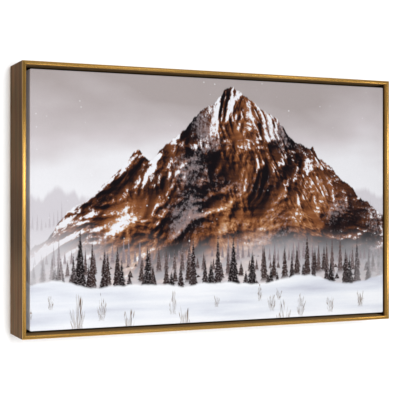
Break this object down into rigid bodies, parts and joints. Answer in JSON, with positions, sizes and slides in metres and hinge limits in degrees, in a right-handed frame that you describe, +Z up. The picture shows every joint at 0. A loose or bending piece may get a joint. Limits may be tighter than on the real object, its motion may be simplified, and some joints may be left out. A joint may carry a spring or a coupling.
{
  "type": "framed canvas print",
  "caption": "Canvas print wrapped on a wooden stretcher and set in a slim gold floater frame, with a sawtooth hanger and wall pads behind.",
  "frame": {"origin": "the point on the wall where the middle notch of the sawtooth hanger sits on its nail", "axes": "+X to the viewer's right along the top rail, +Y from the picture's face towards the wall, +Z up"},
  "size_m": [0.4216, 0.0525, 0.2692],
  "materials": {
    "frame_gold": "brushed gold foil on the lip, darker bronze on the sides, black in the float gap, bare wood behind",
    "stretcher_pine": "planed, unfinished",
    "key_beech": "sawn, unfinished",
    "printed_canvas": "matt print on primed canvas, unprimed weave behind",
    "screw_zinc": "bright zinc",
    "hanger_steel": "brassed steel",
    "pad_felt": "pressed felt"
  },
  "bodies": {
    "root": {"frame_top": "frame_gold", "frame_bottom": "frame_gold", "frame_left": "frame_gold", "frame_right": "frame_gold", "stretcher_top": "stretcher_pine", "stretcher_bottom": "stretcher_pine", "stretcher_left": "stretcher_pine", "stretcher_right": "stretcher_pine", "key_top_left_across": "key_beech", "key_top_left_up": "key_beech", "key_top_right_across": "key_beech", "key_top_right_up": "key_beech", "key_bottom_left_across": "key_beech", "key_bottom_left_up": "key_beech", "key_bottom_right_across": "key_beech", "key_bottom_right_up": "key_beech", "canvas": "printed_canvas", "screw_top_1": "screw_zinc", "screw_top_2": "screw_zinc", "screw_right_1": "screw_zinc", "screw_bottom_1": "screw_zinc", "screw_bottom_2": "screw_zinc", "screw_left_1": "screw_zinc", "hanger": "hanger_steel", "hanger_nail_left": "hanger_steel", "hanger_nail_right": "hanger_steel", "bumper_left": "pad_felt", "bumper_right": "pad_felt"}
  },
  "joints": []
}
